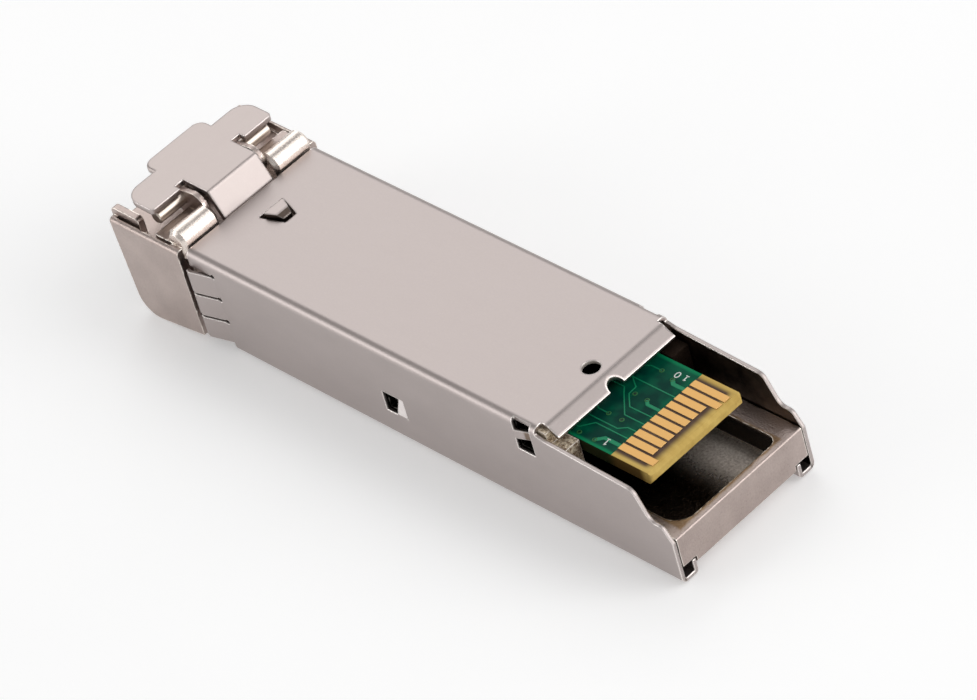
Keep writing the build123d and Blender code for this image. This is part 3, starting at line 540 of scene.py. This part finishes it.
# optics
barrelLook = {"dark": (170, 168, 166), "light": (196, 194, 192), "rough": 0.22, "roughSpread": 0.12,
              "grainScale": 7000.0, "bump": 0.15, "edgeRadius": 0.1 * mm, "stretch": (4.0, 0.3, 0.3)}
zirconiaLook = {"dark": (232, 228, 218), "light": (244, 240, 232), "rough": 0.18, "roughSpread": 0.1,
                "grainScale": 5000.0, "bump": 0.04, "edgeRadius": 0.05 * mm, "metal": 0.0, "coat": 0.4}
canLook = {"dark": (206, 168, 98), "light": (228, 192, 124), "rough": 0.24, "roughSpread": 0.12,
           "grainScale": 6000.0, "bump": 0.1, "edgeRadius": 0.08 * mm}
clampLook = {"dark": (160, 158, 156), "light": (186, 184, 182), "rough": 0.3, "roughSpread": 0.12,
             "grainScale": 8000.0, "bump": 0.15, "edgeRadius": 0.06 * mm, "stretch": (1.0, 0.25, 1.0)}
flexLook = {"dark": (176, 96, 24), "light": (204, 122, 40), "rough": 0.3, "roughSpread": 0.1,
            "grainScale": 3000.0, "bump": 0.06, "edgeRadius": 0.03 * mm, "metal": 0.0, "coat": 0.3}
for nodes, label, look in ((("transmit_barrel", "receive_barrel"), "turnedBarrel", barrelLook),
                           (("transmit_sleeve", "receive_sleeve"), "zirconiaSleeve", zirconiaLook),
                           (("transmit_can", "receive_can"), "gildedCan", canLook),
                           (("barrel_clamp",), "clampSheet", clampLook),
                           (("transmit_flex", "receive_flex"), "amberFlex", flexLook)):
    finish = finishedSurface(label, look)
    for node in nodes:
        dress(node, finish)

# chips and small parts
chipLook = {"dark": (34, 34, 36), "light": (56, 55, 57), "edge": (92, 90, 90), "rough": 0.5,
            "roughSpread": 0.25, "grainScale": 9000.0, "bump": 0.3, "edgeRadius": 0.06 * mm, "metal": 0.0,
            "pits": 0.15}
ferriteLook = {"dark": (44, 42, 42), "light": (70, 67, 66), "edge": (104, 100, 98), "rough": 0.45,
               "roughSpread": 0.2, "grainScale": 7000.0, "bump": 0.3, "edgeRadius": 0.06 * mm, "metal": 0.0,
               "pits": 0.3, "middle": 12.235 * mm, "step": 4.0 * mm, "tin": (0.61 * mm, 0.63 * mm)}
passiveLook = {"dark": (150, 124, 96), "light": (184, 154, 120), "edge": (212, 196, 176), "rough": 0.4,
               "roughSpread": 0.15, "grainScale": 6000.0, "bump": 0.12, "edgeRadius": 0.04 * mm, "metal": 0.0,
               "middle": 5.025 * mm, "step": 2.21 * mm, "tin": (0.26 * mm, 0.28 * mm)}
tinLook = {"dark": (186, 186, 184), "light": (214, 214, 212), "rough": 0.3, "metal": 1.0}


def tinnedEnds(look):
    def region(tree, coords):
        # parts stand in rows at even steps; the tin begins past half the bare body's length
        x, y, z = split(tree, coords)
        offset = mathNode(tree, "WRAP", less(tree, x, look["middle"]), look["step"] / 2, -look["step"] / 2)
        return ramp(tree, absolute(tree, offset), *look["tin"])
    return region


chipFinish = finishedSurface("mouldedEpoxy", chipLook)
for chip in ("laser_driver", "limiting_amplifier", "controller_chip"):
    dress(chip, chipFinish)
dress("supply_inductors", finishedSurface("ferriteBody", ferriteLook, [(tinnedEnds(ferriteLook), tinLook)]))
dress("chip_passives", finishedSurface("firedCeramic", passiveLook, [(tinnedEnds(passiveLook), tinLook)]))
print("finishes placed on metal, optics and chips")

# the board: green mask, brown glass-epoxy over the copper plane, honey glass-epoxy beyond it
boardLook = {"maskEnd": 20.93 * mm, "maskFade": (20.33 * mm, 21.53 * mm), "top": 7.19 * mm,
             "bottom": 6.21 * mm, "planeFade": (23.6 * mm, 24.3 * mm), "planeSides": (4.02 * mm, 4.42 * mm),
             "greenDark": (0, 58, 48), "greenLight": (0, 96, 68), "greenRange": (0.35, 0.65),
             "greenEdge": (10, 128, 84), "greenSides": (4.2 * mm, 4.5 * mm),
             "coverShadowFade": (15.6 * mm, 17.0 * mm), "coverShadowColour": (2, 12, 10),
             "honeyDark": (182, 146, 72), "honeyLight": (234, 204, 122), "brownDark": (62, 46, 40),
             "brownLight": (112, 92, 80), "sawnShadeGreen": (52, 58, 34), "sawnShadeBrown": (112, 88, 48),
             "sawnFacing": (0.6, 0.9), "sawnFade": (23.5 * mm, 24.2 * mm), "strands": (0.12, 1.0, 1.0),
             "weaveScale": 1500.0, "weaveDetail": 3.0, "patchScale": 520.0, "patchDetail": 2.0,
             "bareRough": 0.5, "maskRough": 0.34, "edgeRadius": 0.06 * mm, "bump": 0.2,
             "bumpDepth": 0.02 * mm, "specular": 0.04}


def boardFinish():
    # the mask covers both flat faces up to its end; beyond it and on the sawn sides the bare board shows
    look = boardLook
    material, tree, shader, coords = startMaterial("maskedLaminate")
    along, across, up = split(tree, coords)
    strands = putNode(tree, "ShaderNodeMapping", {"Vector": coords, "Scale": look["strands"]})
    weave = noise(tree, strands.outputs[0], look["weaveScale"], look["weaveDetail"])
    patches = noise(tree, coords, look["patchScale"], look["patchDetail"])
    side = absolute(tree, across)
    inPlane = times(tree, fade(tree, along, *look["planeFade"]), fade(tree, side, *look["planeSides"]))
    honey = mixColour(tree, weave, look["honeyDark"], look["honeyLight"])
    brown = mixColour(tree, weave, look["brownDark"], look["brownLight"])
    bare = mixColour(tree, inPlane, honey, brown)
    green = mixColour(tree, ramp(tree, patches, *look["greenRange"]), look["greenDark"], look["greenLight"])
    green = mixColour(tree, ramp(tree, side, *look["greenSides"]), green, look["greenEdge"])
    # painted shadow: the mask darkened under the cover's lip
    green = mixColour(tree, fade(tree, along, *look["coverShadowFade"]), green, look["coverShadowColour"])
    flatFace = mathNode(tree, "MAXIMUM", above(tree, up, look["top"]), below(tree, up, look["bottom"]))
    masked = times(tree, flatFace, below(tree, along, look["maskEnd"]))
    # the sawn sides are painted darker, as painted shade, and greener below the mask
    edgeFace = less(tree, 1.0, absolute(tree, split(tree, flatNormal(tree))[2]))
    sawn = times(tree, ramp(tree, edgeFace, *look["sawnFacing"]), fade(tree, along, *look["sawnFade"]))
    under = mixColour(tree, ramp(tree, along, *look["maskFade"]), look["sawnShadeGreen"], look["sawnShadeBrown"])
    bare = mixColour(tree, sawn, bare, under)
    worn = placeGroup(tree, edgeWearAndHighlight, {"Radius": look["edgeRadius"], "Coords": coords})
    bump = putNode(tree, "ShaderNodeBump", {"Strength": look["bump"], "Distance": look["bumpDepth"],
                                            "Height": weave, "Normal": worn.outputs["Normal"]})
    feed(tree, shader, {"Base Color": mixColour(tree, masked, bare, green), "Normal": bump.outputs[0],
                        "Roughness": ramp(tree, masked, 0.0, 1.0, look["bareRough"], look["maskRough"]),
                        "Specular IOR Level": look["specular"]})
    return material


dress("circuit_board", boardFinish())


# pieces drawn on the board: a profile carried along a path, and a profile turned round a point
def unit(vectors):
    # each row divided by its own length
    return vectors / np.maximum(np.linalg.norm(vectors, axis=1, keepdims=True), 1e-12)


def quadFaces(row, nextRow, column, nextColumn, columns):
    # the four corners of each cell of a grid whose points are counted row by row
    return np.stack([row * columns + column, nextRow * columns + column, nextRow * columns + nextColumn,
                     row * columns + nextColumn], axis=-1).reshape(-1, 4)


def carryProfile(path, profile, closed):
    # at each point the profile's first number goes sideways, widened at corners so that the width holds,
    # and its second number goes up
    path, profile = np.asarray(path, float), np.asarray(profile, float)
    after, before = np.roll(path, -1, axis=0), np.roll(path, 1, axis=0)
    if not closed:
        after[-1], before[0] = path[-1], path[0]
    forward, backward = unit(after - path), unit(path - before)
    heading = unit(forward + backward)
    side = np.stack([-heading[:, 1], heading[:, 0], np.zeros(len(path))], axis=1)
    run = np.where(np.linalg.norm(forward, axis=1, keepdims=True) > 0.5, forward, backward)
    spread = 1.0 / np.maximum(np.abs((heading * run).sum(axis=1)), 0.5)
    points = (path[:, None, :] + side[:, None, :] * (profile[None, :, 0] * spread[:, None])[:, :, None]
              + np.array([0.0, 0.0, 1.0]) * profile[None, :, 1, None])
    rows, columns = points.shape[:2]
    row, column = np.meshgrid(np.arange(rows if closed else rows - 1), np.arange(columns), indexing="ij")
    faces = quadFaces(row, (row + 1) % rows, column, (column + 1) % columns, columns).tolist()
    if not closed:
        ends = np.arange(columns)
        faces += [ends.tolist(), ((rows - 1) * columns + ends)[::-1].tolist()]
    return points.reshape(-1, 3), faces


def turnProfile(centre, profile, turns):
    # each profile point is a radius and a height; it goes round the centre by the angle
    angle = np.linspace(0.0, 2.0 * np.pi, turns, endpoint=False)
    profile = np.asarray(profile, float)
    points = np.stack([centre[0] + np.outer(np.cos(angle), profile[:, 0]),
                       centre[1] + np.outer(np.sin(angle), profile[:, 0]),
                       centre[2] + np.outer(np.ones(turns), profile[:, 1])], axis=-1)
    columns = len(profile)
    row, column = np.meshgrid(np.arange(turns), np.arange(columns - 1), indexing="ij")
    quads = quadFaces(row, (row + 1) % turns, column, column + 1, columns)
    ring = np.arange(turns) * columns
    faces = quads.tolist() + [(ring + columns - 1).tolist(), ring[::-1].tolist()]
    return points.reshape(-1, 3), faces


def placeObject(name, data):
    item = bpy.data.objects.new(name, data)
    scene.collection.objects.link(item)
    return item


def makePiece(name, parts, material):
    # the parts' points, given in mm, are stacked, and each part's faces count on from the points before them
    points, faces, start = [], [], 0
    for given, around in parts:
        points.append(given * mm)
        faces += [(np.asarray(face) + start).tolist() for face in around]
        start += len(given)
    mesh = bpy.data.meshes.new(name)
    mesh.from_pydata(np.vstack(points).tolist(), [], faces)
    mesh.update()
    mesh.materials.append(material)
    piece = placeObject(name, mesh)
    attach(piece, "module")
    return piece


def ridgeAlong(run, width, look, closed=False):
    # a low flat-topped ridge, sunk a little into the board, carried along the run
    half, flat = width / 2, width / 2 * look["flat"]
    profile = [(-half, -look["sink"]), (-flat, look["rise"]), (flat, look["rise"]), (half, -look["sink"])]
    return carryProfile(np.insert(np.asarray(run), 2, look["level"], axis=1), profile, closed)


# each path is a width and the points that it runs through, in mm
traceLook = {"dark": (8, 116, 80), "light": (30, 154, 106), "edge": (40, 150, 104), "rough": 0.34,
             "roughSpread": 0.08, "grainScale": 5000.0, "bump": 0.08, "edgeRadius": 0.02 * mm, "metal": 0.0,
             "edgeHighlightShow": 0.4, "dust": 0.02, "specular": 0.15, "level": 7.2, "sink": 0.004, "rise": 0.016,
             "flat": 0.8,
             "paths": [(0.1, [(14.9, 1.25), (15.9, 1.25), (16.5, 1.9), (20.93, 1.9)]),
                       (0.1, [(14.9, 2.0), (16.6, 2.0), (17.75, 1.25), (17.79, 0.5), (18.75, -0.43),
                              (20.93, -0.4)]),
                       (0.1, [(14.9, 0.85), (17.0, 0.85), (17.45, 0.35), (19.0, -1.2), (20.93, -1.2)]),
                       (0.1, [(15.2, -3.72), (17.0, -3.72), (17.8, -2.82), (20.93, -2.82)]),
                       (0.1, [(15.0, -2.46), (19.5, -2.46), (20.1, -2.02), (20.93, -2.0)]),
                       (0.28, [(19.36, 0.66), (19.7, 0.36), (20.93, 0.36)]),
                       (0.34, [(18.9, -4.1), (19.4, -3.6), (20.93, -3.6)]),
                       (0.1, [(18.2, 3.4), (17.2, 3.4), (16.4, 3.0), (15.0, 3.0)]),
                       (0.34, [(19.5, 3.1), (19.85, 2.8), (20.93, 2.8)]),
                       (0.1, [(17.92, -1.67), (16.9, -1.67), (16.2, -1.0), (15.0, -1.0)])]}
makePiece("board_traces", [ridgeAlong(run, width, traceLook) for width, run in traceLook["paths"]],
          finishedSurface("maskedTrace", traceLook))

# each via is turned from radius and height pairs, from the outer foot over the crown and down to the middle,
# painted dark as painted shade for the via's hole
viaLook = {"level": 7.2, "turns": 20,
           "profile": [(0.2, -0.004), (0.188, 0.018), (0.155, 0.03), (0.11, 0.021), (0.088, 0.006)],
           "viaHoleShadeShare": [0.0, 0.0, 0.0, 0.6, 1.0],
           "places": [(18.2, 3.4), (18.17, 0.71), (19.36, 0.68), (17.92, -1.67), (19.19, -1.68),
                      (17.43, -4.1), (18.9, -4.1), (19.5, 3.1)],
           "rimDark": (8, 84, 52), "rimLight": (74, 138, 72), "viaHoleShade": (2, 44, 32), "grainScale": 9000.0,
           "rough": (0.28, 0.44), "specular": 0.2}


def viaFinish():
    # a pale green ring, and painted shade for the via's hole as far as the mesh's own share says
    material, tree, shader, coords = startMaterial("viaRing")
    share = putNode(tree, "ShaderNodeAttribute", attribute_name="viaHoleShade")
    grained = placeGroup(tree, grain, {"Coords": coords, "Scale": viaLook["grainScale"]}).outputs
    ring = mixColour(tree, grained["Tone"], viaLook["rimDark"], viaLook["rimLight"])
    feed(tree, shader, {"Base Color": mixColour(tree, share.outputs["Fac"], ring, viaLook["viaHoleShade"]),
                        "Roughness": ramp(tree, grained["Tone"], 0.0, 1.0, *viaLook["rough"]),
                        "Specular IOR Level": viaLook["specular"]})
    return material


vias = makePiece("board_vias", [turnProfile((*place, viaLook["level"]), viaLook["profile"], viaLook["turns"])
                                for place in viaLook["places"]], viaFinish())
shares = np.tile(viaLook["viaHoleShadeShare"], viaLook["turns"] * len(viaLook["places"]))
vias.data.attributes.new("viaHoleShade", "FLOAT", "POINT").data.foreach_set("value", shares.astype(np.float32))

# pin numbers 1 and 10 in strokes; their tops point to the near side
inkLook = {"dark": (216, 220, 214), "light": (240, 242, 238), "rough": 0.5, "roughSpread": 0.2,
           "grainScale": 9000.0, "bump": 0.2, "edgeRadius": 0.02 * mm, "metal": 0.0, "dust": 0.0,
           "specular": 0.2, "level": 7.2, "sink": 0.004, "rise": 0.022, "flat": 0.8, "stroke": 0.085,
           "zeroMiddle": (19.48, 3.64), "zeroHalf": (0.17, 0.26), "zeroTurns": 20,
           "one": [[(19.78, -4.16), (19.78, -3.56)], [(19.78, -4.14), (19.93, -4.02)],
                   [(19.64, -3.56), (19.92, -3.56)]],
           "ten": [[(20.2, 3.4), (20.2, 3.92)], [(20.2, 3.42), (20.34, 3.54)],
                   [(20.06, 3.92), (20.34, 3.92)]]}


def makeNumbers():
    # the zero is an ellipse: its middle plus its half sizes times (cos, sin) of the angle
    turn = np.linspace(0.0, 2.0 * np.pi, inkLook["zeroTurns"], endpoint=False)
    zero = inkLook["zeroMiddle"] + np.stack([np.cos(turn), np.sin(turn)], axis=1) * inkLook["zeroHalf"]
    strokes = ([(False, run) for run in inkLook["one"]] + [(True, zero)]
               + [(False, run) for run in inkLook["ten"]])
    makePiece("pin_numbers", [ridgeAlong(run, inkLook["stroke"], inkLook, closed) for closed, run in strokes],
              finishedSurface("boardInk", inkLook))


makeNumbers()
print("board drawn")

# the leaf under the lever's tail, which on the real part flattens onto its foot as the lever turns
leafLook = {"foot": (-19.125, 7.025), "bendMiddle": (-17.8, 7.225), "bendRadius": 0.2,
            "bendTurn": (-90.0, 69.0), "bendSteps": 14, "halfSheet": 0.075, "halfWidth": 1.0,
            "tip": [(-18.75, 7.803), (-18.86, 7.815), (-19.125, 7.815)],
            "fixedEnd": (-18.4 * mm, 0.0, 6.95 * mm), "keep": 0.54}


def makeLeaf():
    # the middle line runs along the foot, round the bend and back up to the tip; the sheet lies half its
    # thickness to each side of it, and that outline is carried straight across
    angle = np.radians(np.linspace(*leafLook["bendTurn"], leafLook["bendSteps"]))
    bend = leafLook["bendMiddle"] + leafLook["bendRadius"] * np.stack([np.cos(angle), np.sin(angle)], axis=1)
    line = np.vstack([leafLook["foot"], bend, leafLook["tip"]])
    run = unit(np.gradient(line, axis=0))
    off = np.stack([-run[:, 1], run[:, 0]], axis=1) * leafLook["halfSheet"]
    outline = np.vstack([line - off, (line + off)[::-1]]) * [-1.0, 1.0]
    across = [(0.0, side * leafLook["halfWidth"], 0.0) for side in (-1.0, 1.0)]
    piece = makePiece("latch_leaf", [carryProfile(across, outline, False)], springFinish)
    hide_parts("latch_spring")
    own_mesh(piece)


makeLeaf()
print("leaf placed under the lever")

# camera at the photograph's viewing angle
view = {"azimuth": 55.77, "elevation": 40.36, "roll": -16.87, "distance": 400.33 * mm,
        "shiftRight": 1.88 * mm, "shiftUp": 1.97 * mm, "offset": (-0.425 * mm, 0.0, 0.25 * mm),
        "focalPixels": 5648.8, "pixelsWide": 977.0, "sensor": 36.0, "clip": (0.01, 20.0)}


def placeCamera():
    around, above, roll = (math.radians(view[key]) for key in ("azimuth", "elevation", "roll"))
    back = Vector((math.sin(around) * math.cos(above), -math.cos(around) * math.cos(above), math.sin(above)))
    right = Vector((math.cos(around), math.sin(around), 0.0))
    up = back.cross(right)
    turnedRight = right * math.cos(roll) + up * math.sin(roll)
    turnedUp = up * math.cos(roll) - right * math.sin(roll)
    centre = (turnedRight * view["shiftRight"] + turnedUp * view["shiftUp"] + back * view["distance"]
              + Vector(view["offset"]))
    data = bpy.data.cameras.new("photoCamera")
    data.sensor_width = view["sensor"]
    data.lens = view["focalPixels"] * view["sensor"] / view["pixelsWide"]
    data.clip_start, data.clip_end = view["clip"]
    camera = placeObject("photoCamera", data)
    turn = Matrix((turnedRight, turnedUp, back)).transposed().to_4x4()
    camera.matrix_world = Matrix.Translation(centre) @ turn
    scene.camera = camera


placeCamera()

# studio: pale floor, soft lamps, plain world
studio = {"floorRadius": 3.0, "floorLevel": -0.02 * mm, "rings": 12, "turns": 96,
          "paperDark": (238, 238, 238), "paperLight": (242, 242, 242), "paperScale": 40.0, "paperDetail": 2.0,
          "lift": 0.28,
          "worldRise": (0.05, 0.8), "worldSide": 0.62, "worldTop": 0.6, "aim": (0.0, 0.0, 4.0 * mm)}
lamps = {"leftPanel": ((-0.66, 0.43, 0.62), 0.66, 1.25), "rightPanel": ((0.88, 0.42, 0.22), 0.6, 1.88),
         "ridgePanel": ((0.64, 0.42, 0.6), 0.6, 1.75), "lipPanel": ((0.26, 0.42, 0.85), 0.3, 1.05),
         "nearPanel": ((-0.63, -0.7, 0.26), 0.5, 2.0)}   # place, side and radiance


def makeFloor():
    # rings from the centre out, each point at radius times (cos, sin) of its angle
    rings, turns = studio["rings"], studio["turns"]
    radius = studio["floorRadius"] * np.linspace(0.0, 1.0, rings + 1)[1:] ** 2
    angle = np.linspace(0.0, 2.0 * np.pi, turns, endpoint=False)
    spread, swing = np.meshgrid(radius, angle, indexing="ij")
    points = np.stack([spread * np.cos(swing), spread * np.sin(swing), np.zeros_like(spread)], axis=-1)
    points = np.vstack([[[0.0, 0.0, 0.0]], points.reshape(-1, 3)]) + [0.0, 0.0, studio["floorLevel"]]
    ring, turn = np.meshgrid(np.arange(rings - 1), np.arange(turns), indexing="ij")
    quads = quadFaces(ring, ring + 1, turn, (turn + 1) % turns, turns) + 1
    first = np.arange(turns)
    fan = np.stack([np.zeros(turns, int), 1 + first, 1 + (first + 1) % turns], axis=-1)
    mesh = bpy.data.meshes.new("floor")
    mesh.from_pydata(points.tolist(), [], quads.tolist() + fan.tolist())
    floor = placeObject("floor", mesh)
    material = bpy.data.materials.new("paleFloor")
    tree = emptyTree(material)
    coords = putNode(tree, "ShaderNodeTexCoord").outputs["Object"]
    paper = mixColour(tree, noise(tree, coords, studio["paperScale"], studio["paperDetail"]),
                      studio["paperDark"], studio["paperLight"])
    matte = putNode(tree, "ShaderNodeBsdfDiffuse", {"Color": paper})
    rays = putNode(tree, "ShaderNodeLightPath").outputs
    seen = mathNode(tree, "MAXIMUM", rays["Is Camera Ray"],
                    mathNode(tree, "MAXIMUM", rays["Is Glossy Ray"], rays["Is Transmission Ray"]))
    lift = putNode(tree, "ShaderNodeEmission", {"Strength": times(tree, seen, studio["lift"])})
    both = putNode(tree, "ShaderNodeAddShader", {0: matte.outputs[0], 1: lift.outputs[0]})
    putNode(tree, "ShaderNodeOutputMaterial", {"Surface": both.outputs[0]})
    mesh.materials.append(material)


def makeWorld():
    scene.world = bpy.data.worlds.new("studioWorld")
    tree = emptyTree(scene.world)
    up = split(tree, putNode(tree, "ShaderNodeTexCoord").outputs["Generated"])[2]
    height = ramp(tree, up, *studio["worldRise"], studio["worldSide"], studio["worldTop"])
    light = putNode(tree, "ShaderNodeBackground", {"Strength": height})
    putNode(tree, "ShaderNodeOutputWorld", {"Surface": light.outputs[0]})


def softLamp(name, place, size, radiance):
    # a square panel aimed at the object; its power is radiance times area times pi
    data = bpy.data.lights.new(name, "AREA")
    data.shape = "SQUARE"
    data.size = size
    data.energy = radiance * size * size * math.pi
    aim = (Vector(studio["aim"]) - Vector(place)).to_track_quat("-Z", "Y")
    placeObject(name, data).matrix_world = Matrix.Translation(Vector(place)) @ aim.to_matrix().to_4x4()


makeFloor()
makeWorld()
for name, values in lamps.items():
    softLamp(name, *values)
scene.view_settings.view_transform = "Standard"
print("studio and camera placed")
